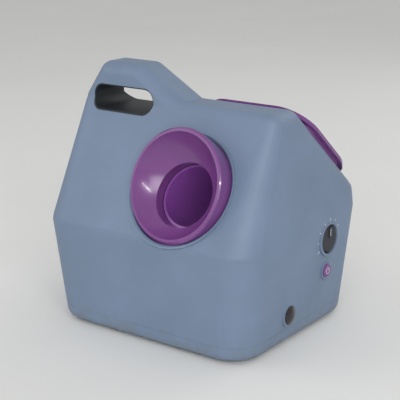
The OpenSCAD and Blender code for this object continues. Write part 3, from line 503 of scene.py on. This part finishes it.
# ABS with a soft-touch lacquer: almost no highlight, so the dial reads as a dark, dry grip.
DIAL_DARK = Plastic("Soft-touch ABS, charcoal dial", "2e3238", "272b30", roughness=0.6, grain_mm=0.7)
# Glass-filled nylon as moulded: black with a dry, slightly cloudy skin from the fibres.
FRAME_BLACK = Plastic("Glass-filled nylon, black", "1f2125", "26282c", Surface.PLAIN, 0.5, grain_mm=0.5)
# Natural acetal, moulded or hobbed: a milky white with a soapy low gloss.
GEAR_WHITE = Plastic("Acetal, natural white", "e3e0d6", "d8d4c8", Surface.PLAIN, 0.36, grain_mm=0.8)
# Infrared-clear polycarbonate from a polished tool: black to the eye, with a small hard highlight.
WINDOW_DARK = Plastic(
    "Polycarbonate, infrared-clear black", "120d16", "18111d", Surface.POLISHED, 0.08, coat=0.5
)
# Cast acrylic rod, polished at its end: a bright, clean green dot.
LIGHT_GREEN = Plastic("Acrylic light pipe, green", "4fae5c", "47a053", Surface.POLISHED, 0.15)
# Moulded rubber with carbon black: dull, with a faint bloom at grazing angles and dust at its foot.
FOOT_RUBBER = Plastic(
    "Moulded rubber, black", "1d1d1f", "242427", roughness=0.78, grain_mm=0.8, soil_top_mm=6, sheen=0.15
)
# Glass epoxy laminate under a cured solder mask: an even green film with the weave just showing.
BOARD_GREEN = Plastic(
    "Glass epoxy board, green solder mask", "1c5a3a", "174c31", Surface.PLAIN, 0.35, grain_mm=1.6
)
# Pad-printed ink: a thin off-white film, flatter in gloss than what it lies on.
MARK_WHITE = Plastic("Pad-printed ink, off-white", "d8dde4", "cfd5dd", Surface.PLAIN, 0.55, grain_mm=0.5)
# Silver steel bar, ground round: sharp thin highlights along the shaft, broken up by the grinding rings.
SHAFT_STEEL = Metal("Ground steel bar", "b4b6ba", Working.GROUND, 0.22, 0.35)
# Cold-rolled sheet, zinc plated: a grey, slightly bluish sheen with cloudy patches.
PLATE_STEEL = Metal("Zinc-plated steel sheet", "a3a6aa", Working.PLATED, 0.36, 1.4)
# Hard-drawn spring wire, oiled: darker than bar, with drawing marks along each coil.
SPRING_STEEL = Metal("Spring steel wire", "8d9095", Working.GROUND, 0.28, 0.3)
# Free-cutting brass, turned: warm rings of light across every face.
TURNED_BRASS = Metal("Turned brass", "c9a45c", Working.TURNED, 0.26, 0.3)
# Printed film shrunk on a dry cell: glossy with small wrinkles, dark with a copper-coloured end.
CELL_SLEEVE = CellWrap("Shrink sleeve on a dry cell", "2c2d31", "b9803f", 61.5, -124.5)

Finish = Plastic | Metal | CellWrap


class Shop:
    """Makes each finish once and puts it on pieces."""

    def __init__(self) -> None:
        """Starts with no material made."""
        self.made: dict[str, bpy.types.Material] = {}

    def get(self, finish: Finish) -> bpy.types.Material:
        """Gives the material of a finish.

        Args:
            finish: what the surface is.

        Returns:
            Its material, made at the first call.
        """
        if finish.name not in self.made:
            self.made[finish.name] = finish.build()
        return self.made[finish.name]

    def dress(self, obj: bpy.types.Object, finish: Finish) -> None:
        """Puts a finish on every material slot of a piece.

        Args:
            obj: the piece.
            finish: what its surface is.
        """
        material = self.get(finish)
        if not obj.material_slots:
            obj.data.materials.append(material)
        for slot in obj.material_slots:
            slot.material = material


# Vertices nearer than this are one, and edges shorter than the second value are dropped.
MERGE_DISTANCE = 0.004 * MM
DEGENERATE_LENGTH = 0.002 * MM
# How near a vertex lies to the cut and to the parting plane to belong to it.
CUT_TOLERANCE = 0.001 * MM
ON_PLANE = 0.01 * MM
# A face is a wall if its normal's rise is below the first value, and an outer one if its normal points
# away from the middle by more than the second.
WALL_RISE = 0.5
OUTWARD = 0.2


def smooth_copy(node: bpy.types.Object, name: str, angle: float = 32.0) -> bpy.types.Object:
    """Copies a solid's mesh, joins its loose triangles and shades its curves smooth.

    Args:
        node: the solid's object.
        name: the new piece's name.
        angle: the angle between faces, in degrees, above which an edge stays sharp.

    Returns:
        The new piece, at the same place.
    """
    mesh = node.data.copy()
    mesh.name = name
    shape = bmesh.new()
    shape.from_mesh(mesh)
    bmesh.ops.remove_doubles(shape, verts=shape.verts, dist=MERGE_DISTANCE)
    bmesh.ops.dissolve_degenerate(shape, edges=shape.edges, dist=DEGENERATE_LENGTH)
    for face in shape.faces:
        face.smooth = True
    shape.to_mesh(mesh)
    shape.free()
    if mesh.attributes.get("custom_normal"):
        mesh.attributes.remove(mesh.attributes["custom_normal"])
    mesh.set_sharp_from_angle(angle=math.radians(angle))
    piece = bpy.data.objects.new(name, mesh)
    bpy.context.scene.collection.objects.link(piece)
    weighted = piece.modifiers.new("flat faces stay flat", "WEIGHTED_NORMAL")
    weighted.mode = "FACE_AREA_WITH_ANGLE"
    weighted.weight = 70
    weighted.keep_sharp = True
    return piece


def ease_rim(piece: bpy.types.Object, height: float, rise: float, depth: float) -> None:
    """Chamfers a shell's outer edge at its parting plane, as a mould leaves it.

    Args:
        piece: the shell.
        height: the parting plane's height, in metres.
        rise: how far from the plane the chamfer reaches, in metres; negative is downwards.
        depth: how far in the edge itself goes, in metres.
    """
    shape = bmesh.new()
    shape.from_mesh(piece.data)
    bmesh.ops.bisect_plane(
        shape,
        geom=[*shape.verts, *shape.edges, *shape.faces],
        dist=CUT_TOLERANCE,
        plane_co=(0.0, 0.0, height + rise),
        plane_no=(0.0, 0.0, 1.0),
    )
    moves: dict[bmesh.types.BMVert, Vector] = {}
    for vert in shape.verts:
        if abs(vert.co.z - height) > ON_PLANE:
            continue
        out = Vector((0.0, 0.0, 0.0))
        for face in vert.link_faces:
            if abs(face.normal.z) < WALL_RISE:
                out += Vector((face.normal.x, face.normal.y, 0.0)) * face.calc_area()
        # Only the outer edge moves: there the wall faces away from the housing's middle.
        from_middle = Vector((vert.co.x, vert.co.y, 0.0)).normalized()
        if out.length > 0 and out.normalized().dot(from_middle) > OUTWARD:
            moves[vert] = out.normalized() * depth
    for vert, move in moves.items():
        vert.co -= move
    bmesh.ops.triangulate(shape, faces=[f for f in shape.faces if len(f.verts) > 4])
    shape.to_mesh(piece.data)
    shape.free()


def from_bmesh(shape: bmesh.types.BMesh, name: str, smooth_angle: float = 35.0) -> bpy.types.Object:
    """Turns a finished bmesh into an object at the origin.

    Args:
        shape: the mesh, which is freed.
        name: the new piece's name.
        smooth_angle: the angle, in degrees, above which an edge stays sharp.

    Returns:
        The new piece.
    """
    bmesh.ops.recalc_face_normals(shape, faces=shape.faces)
    for face in shape.faces:
        face.smooth = True
    mesh = bpy.data.meshes.new(name)
    shape.to_mesh(mesh)
    shape.free()
    mesh.set_sharp_from_angle(angle=math.radians(smooth_angle))
    piece = bpy.data.objects.new(name, mesh)
    bpy.context.scene.collection.objects.link(piece)
    return piece


def rounded_bar(shape: bmesh.types.BMesh, size: Point, place: Matrix, round_by: float) -> None:
    """Adds a small bar with rounded edges to a bmesh.

    Args:
        shape: the mesh that gets it.
        size: length, width and height, in metres.
        place: where the middle of the bar goes and how it is turned.
        round_by: radius of its edges, in metres.
    """
    made = bmesh.ops.create_cube(shape, size=1.0)
    bmesh.ops.scale(shape, vec=Vector(size), verts=made["verts"])
    edges = list({e for v in made["verts"] for e in v.link_edges})
    bevelled = bmesh.ops.bevel(
        shape,
        geom=edges,
        offset=round_by,
        affect="EDGES",
        segments=2,
        profile=0.5,
        material=-1,
        clamp_overlap=True,
    )
    verts = list({v for f in bevelled["faces"] for v in f.verts} | {v for v in made["verts"] if v.is_valid})
    bmesh.ops.transform(shape, matrix=place, verts=verts)


@dataclass
class Housing:
    """The grey shells, the handle's liner and what is printed on them."""

    shop: Shop
    nodes: dict[str, bpy.types.Object]
    parting_mm: float = 22.0
    groove_mm: float = 0.45
    sharp_angle: float = 30.0
    dial_ticks: int = 9
    dial_sweep: float = 240.0
    mark_radius_mm: float = 24.0
    mark_size_mm: Point = (0.5, 1.1, 3.0)
    long_mark_mm: float = 4.2
    mark_edge_mm: float = 0.12
    mark_proud_mm: float = 0.1

    def build(self) -> None:
        """Copies the shells with smooth shading and dresses them."""
        for node in ("main_housing", "base_pan", "battery_door"):
            piece = smooth_copy(self.nodes[node], f"{node}_skin")
            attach(piece, "housing")
            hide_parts(node)
            self.shop.dress(piece, HOUSING_GREY)
            if node != "battery_door":
                rise = self.groove_mm if node == "main_housing" else -self.groove_mm
                ease_rim(piece, self.parting_mm * MM, rise * MM, self.groove_mm * MM)
                piece.data.set_sharp_from_angle(angle=math.radians(self.sharp_angle))
            log.info("%s: %d faces", piece.name, len(piece.data.polygons))
        liner = smooth_copy(self.nodes["handle_liner"], "handle_liner_skin")
        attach(liner, "housing")
        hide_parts("handle_liner")
        self.shop.dress(liner, LINER_DARK)
        log.info("handle_liner_skin: %d faces", len(liner.data.polygons))

    def dial_marks(self, centre: Point) -> bpy.types.Object:
        """Prints the settings round the dial.

        Args:
            centre: the dial's middle, in metres, outside the wall.

        Returns:
            The ring of marks, one piece.
        """
        shape = bmesh.new()
        wall = self.nodes["main_housing"].data
        skin = BVHTree.FromPolygons([v.co for v in wall.vertices], [tuple(p.vertices) for p in wall.polygons])
        depth, width, short = self.mark_size_mm
        last = self.dial_ticks - 1
        for i in range(self.dial_ticks):
            turn = math.radians(-self.dial_sweep / 2 + self.dial_sweep * i / last)
            length = self.long_mark_mm if i in (0, self.dial_ticks // 2, last) else short
            away = Vector((0.0, -math.sin(turn), math.cos(turn)))
            # The wall is a little twisted, so each mark lies where a line towards -X meets it.
            start = Vector(centre) + away * self.mark_radius_mm * MM
            place, normal, _, _ = skin.ray_cast(start, Vector((-1.0, 0.0, 0.0)))
            along = (away - normal * away.dot(normal)).normalized()
            local = Matrix((normal, along.cross(normal), along)).transposed().to_4x4()
            local.translation = place + normal * (self.mark_proud_mm - depth / 2) * MM
            rounded_bar(shape, (depth * MM, width * MM, length * MM), local, self.mark_edge_mm * MM)
        marks = from_bmesh(shape, "dial_scale_marks")
        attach(marks, "housing")
        self.shop.dress(marks, MARK_WHITE)
        log.info("dial_scale_marks: %d settings", self.dial_ticks)
        return marks


@dataclass
class LaunchChute:
    """The turning purple chute, its retainer, the barrel behind it and the bowl that feeds it."""

    shop: Shop
    nodes: dict[str, bpy.types.Object]

    def build(self) -> None:
        """Copies the pieces that the balls run through with smooth shading and dresses them."""
        plan = (
            ("launch_chute", "chute", CHUTE_PURPLE),
            ("launch_barrel", "housing", BARREL_PURPLE_PAINTED_LIGHTER),
            ("ball_bowl", "housing", BOWL_PURPLE),
            ("chute_retainer", "housing", FRAME_BLACK),
            ("barrel_end_cap", "housing", FRAME_BLACK),
        )
        for node, body, finish in plan:
            piece = smooth_copy(self.nodes[node], f"{node}_skin")
            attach(piece, body)
            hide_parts(node)
            self.shop.dress(piece, finish)
            log.info("%s: %d faces", piece.name, len(piece.data.polygons))


@dataclass
class Mechanism:
    """Arm, gears, motor, boards, cells, controls and feet, which keep their solids and get their finishes."""

    shop: Shop
    nodes: dict[str, bpy.types.Object]
    finishes: dict[str, Finish] = field(
        default_factory=lambda: {
            "launch_arm": GEAR_WHITE,
            "arm_sector": GEAR_WHITE,
            "cocking_wheel": GEAR_WHITE,
            "idler_gear": GEAR_WHITE,
            "ball_lever": GEAR_WHITE,
            "hammer_pad": FOOT_RUBBER,
            "rubber_feet": FOOT_RUBBER,
            "arm_shaft": SHAFT_STEEL,
            "cocking_shaft": SHAFT_STEEL,
            "idler_shaft": SHAFT_STEEL,
            "dial_shaft": SHAFT_STEEL,
            "arm_spring": SPRING_STEEL,
            "inner_gear_plate": PLATE_STEEL,
            "outer_gear_plate": PLATE_STEEL,
            "motor": PLATE_STEEL,
            "housing_screws": PLATE_STEEL,
            "battery_contacts": PLATE_STEEL,
            "plate_spacers": TURNED_BRASS,
            "motor_pinion": TURNED_BRASS,
            "shaft_bushes": TURNED_BRASS,
            "arm_bracket": FRAME_BLACK,
            "dial_sensor": FRAME_BLACK,
            "power_switch": FRAME_BLACK,
            "ball_switch": FRAME_BLACK,
            "board_parts": FRAME_BLACK,
            "buzzer": FRAME_BLACK,
            "power_jack": FRAME_BLACK,
            "door_latch": FRAME_BLACK,
            "distance_dial": DIAL_DARK,
            "power_button": BUTTON_PURPLE,
            "status_light": LIGHT_GREEN,
            "side_sensor_lens": WINDOW_DARK,
            "rear_sensor_lens": WINDOW_DARK,
            "sensor_boards": BOARD_GREEN,
            "control_board": BOARD_GREEN,
            "battery_cells": CELL_SLEEVE,
        }
    )

    def build(self) -> None:
        """Dresses each solid."""
        for name, finish in self.finishes.items():
            self.shop.dress(self.nodes[name], finish)
            log.info("%s: %s", name, finish.name)


@dataclass
class DialPointer:
    """The white line let into the dial's pointer rib."""

    shop: Shop
    depth_mm: float = 0.3
    width_mm: float = 1.2
    length_mm: float = 9.5
    edge_mm: float = 0.06
    proud_mm: float = 0.01
    rib_reach_mm: float = 14.0
    end_gap_mm: float = 0.8

    def build(self, centre: Point) -> bpy.types.Object:
        """Makes the line.

        Args:
            centre: the dial's middle, in metres, at the height of the rib's top.

        Returns:
            The line, one piece.
        """
        shape = bmesh.new()
        outward = self.proud_mm - self.depth_mm / 2
        upward = self.rib_reach_mm - self.end_gap_mm - self.length_mm / 2
        place = Matrix.Translation(Vector(centre) + Vector((outward, 0.0, upward)) * MM)
        size = (self.depth_mm * MM, self.width_mm * MM, self.length_mm * MM)
        rounded_bar(shape, size, place, self.edge_mm * MM)
        line = from_bmesh(shape, "dial_pointer_line")
        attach(line, "dial")
        self.shop.dress(line, MARK_WHITE)
        log.info("dial_pointer_line: %.1f mm long", self.length_mm)
        return line


@dataclass
class PowerMark:
    """The ring and bar on the power button, raised by a fifth of a millimetre."""

    shop: Shop
    ring_mm: float = 3.6
    ring_steps: int = 20
    ring_opening: float = 70.0
    overlap: float = 1.15
    line_mm: float = 0.72
    depth_mm: float = 0.3
    proud_mm: float = 0.2
    edge_mm: float = 0.08
    bar_mm: float = 3.4
    bar_up_mm: float = 3.2

    def build(self, centre: Point) -> bpy.types.Object:
        """Makes the mark.

        Args:
            centre: the middle of the button's face, in metres.

        Returns:
            The mark, one piece.
        """
        shape = bmesh.new()
        lift = (self.proud_mm - self.depth_mm / 2) * MM
        middle = Matrix.Translation(Vector(centre) + Vector((lift, 0.0, 0.0)))
        depth, line, edge = self.depth_mm * MM, self.line_mm * MM, self.edge_mm * MM
        opening = math.radians(self.ring_opening)
        step = (2 * math.pi - opening) / self.ring_steps
        arc = step * self.ring_mm * self.overlap * MM
        for i in range(self.ring_steps):
            turn = Matrix.Rotation(opening / 2 + step * (i + 0.5), 4, "X")
            local = middle @ turn @ Matrix.Translation(Vector((0.0, 0.0, self.ring_mm * MM)))
            rounded_bar(shape, (depth, arc, line), local, edge)
        upright = middle @ Matrix.Translation(Vector((0.0, 0.0, self.bar_up_mm * MM)))
        rounded_bar(shape, (depth, line, self.bar_mm * MM), upright, edge)
        mark = from_bmesh(shape, "power_button_mark")
        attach(mark, "button")
        self.shop.dress(mark, MARK_WHITE)
        log.info("power_button_mark: ring of %.1f mm", self.ring_mm)
        return mark


@dataclass(frozen=True)
class Lamp:
    """A soft lamp that looks at the launcher.

    Lengths are in metres and angles in degrees. The lean turns it about its own view direction. The grid
    is the full angle of a honeycomb in front of it, which keeps its light off the far floor.
    """

    name: str
    place: Point
    size: tuple[float, float]
    watts: float
    lean: float = 0.0
    grid: float = 180.0


LAMPS = (
    # A large box behind the camera, a little above its line of sight, so that light reaches into the chute.
    Lamp("key_softbox", (1.34, -2.15, 1.07), (1.5, 1.5), 4.0, grid=60.0),
    Lamp("fill_softbox", (-1.5, -1.2, 1.2), (1.2, 1.2), 5.0),
    Lamp("back_softbox", (0.4, 1.6, 1.3), (1.2, 1.2), 5.0),
    # A narrow lamp, leaned so that the glossy cup shows a slanting pale streak as in the picture.
    Lamp("strip_light", (1.47, -1.07, 0.99), (0.05, 0.8), 0.7, lean=40.0, grid=60.0),
)


@dataclass
class Studio:
    """Plain pale floor, soft light and the camera at the picture's angle."""

    azimuth: float = 36.0
    elevation: float = 16.0
    distance: float = 1.35
    lens_mm: float = 100.0
    sensor_mm: float = 36.0
    target: Point = (0.0, -0.008, 0.148)
    floor_half: float = 6.0
    floor_colour: str = "efefed"
    floor_shade: str = "e9e9e7"
    clouds_per_metre: float = 3.0
    sky: float = 0.56
    backdrop: float = 0.86

    def floor(self) -> None:
        """Makes the pale floor."""
        shape = bmesh.new()
        bmesh.ops.create_grid(shape, x_segments=2, y_segments=2, size=self.floor_half)
        ground = from_bmesh(shape, "studio_floor")
        material, tree, where = blank_material("Matt paper sweep, pale")
        cloud = add(
            tree,
            "ShaderNodeTexNoise",
            {"Scale": self.clouds_per_metre, "Detail": 2.0},
            {"Vector": where},
        )
        tone = add(
            tree,
            "ShaderNodeMix",
            {"data_type": "RGBA", BELOW: linear(self.floor_colour), ON_TOP: linear(self.floor_shade)},
            {"Factor": cloud.outputs["Fac"]},
        )
        paper = add(
            tree,
            "ShaderNodeBsdfPrincipled",
            {"Roughness": 0.9},
            {"Base Color": tone.outputs[MIXED]},
        )
        add(tree, "ShaderNodeOutputMaterial", links={"Surface": paper.outputs["BSDF"]})
        ground.data.materials.append(material)

    def world(self) -> None:
        """Makes an even sky that lights softly and shows pale behind the object."""
        world = bpy.data.worlds.new("Soft white room")
        bpy.context.scene.world = world
        world.use_nodes = True
        tree = world.node_tree
        tree.nodes.clear()
        path = add(tree, "ShaderNodeLightPath")
        seen = add(
            tree,
            "ShaderNodeMath",
            {"operation": "MAXIMUM"},
            {0: path.outputs["Is Camera Ray"], 1: path.outputs["Is Transmission Ray"]},
        )
        strength = add(
            tree,
            "ShaderNodeMapRange",
            {"To Min": self.sky, "To Max": self.backdrop},
            {"Value": seen.outputs["Value"]},
        )
        light = add(
            tree,
            "ShaderNodeBackground",
            {"Color": (1.0, 1.0, 1.0, 1.0)},
            {"Strength": strength.outputs["Result"]},
        )
        add(tree, "ShaderNodeOutputWorld", links={"Surface": light.outputs["Background"]})

    def hang(self, lamp: Lamp) -> None:
        """Adds a lamp that looks at the launcher.

        Args:
            lamp: its place, size, power and angles.
        """
        data = bpy.data.lights.new(lamp.name, "AREA")
        data.shape = "RECTANGLE"
        data.size, data.size_y = lamp.size
        data.spread = math.radians(lamp.grid)
        data.energy = lamp.watts
        place = Vector(lamp.place)
        facing = (Vector(self.target) - place).to_track_quat("-Z", "Y").to_matrix().to_4x4()
        lean = Matrix.Rotation(math.radians(lamp.lean), 4, "Z")
        hung = bpy.data.objects.new(lamp.name, data)
        hung.matrix_world = Matrix.Translation(place) @ facing @ lean
        bpy.context.scene.collection.objects.link(hung)

    def camera(self) -> None:
        """Puts the camera at the picture's viewing angle."""
        data = bpy.data.cameras.new("picture_camera")
        data.lens = self.lens_mm
        data.sensor_width = self.sensor_mm
        data.sensor_fit = "HORIZONTAL"
        camera = bpy.data.objects.new("picture_camera", data)
        turn, rise = math.radians(self.azimuth), math.radians(self.elevation)
        away = Vector((math.sin(turn) * math.cos(rise), -math.cos(turn) * math.cos(rise), math.sin(rise)))
        camera.location = Vector(self.target) + away * self.distance
        camera.rotation_euler = (-away).to_track_quat("-Z", "Y").to_euler()
        bpy.context.scene.collection.objects.link(camera)
        bpy.context.scene.camera = camera

    def build(self) -> None:
        """Makes the floor, the lights and the camera."""
        bpy.context.scene.view_settings.view_transform = "Standard"
        self.floor()
        self.world()
        for lamp in LAMPS:
            self.hang(lamp)
        self.camera()
        log.info("studio: azimuth %.0f, elevation %.0f", self.azimuth, self.elevation)


def front_middle(node: str) -> Point:
    """Finds the middle of the face that a control turns to the bowl side.

    Args:
        node: the control's node.

    Returns:
        The place, in metres.
    """
    low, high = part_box(node)
    return high[0], (low[1] + high[1]) / 2, (low[2] + high[2]) / 2


def main() -> None:
    """Builds the launcher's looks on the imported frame."""
    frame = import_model()
    nodes = frame["nodes"]
    shop = Shop()
    housing = Housing(shop, nodes)
    housing.build()
    LaunchChute(shop, nodes).build()
    Mechanism(shop, nodes).build()
    dial = front_middle("distance_dial")
    housing.dial_marks(dial)
    DialPointer(shop).build(dial)
    PowerMark(shop).build(front_middle("power_button"))
    Studio().build()


if __name__ == "__main__":
    main()
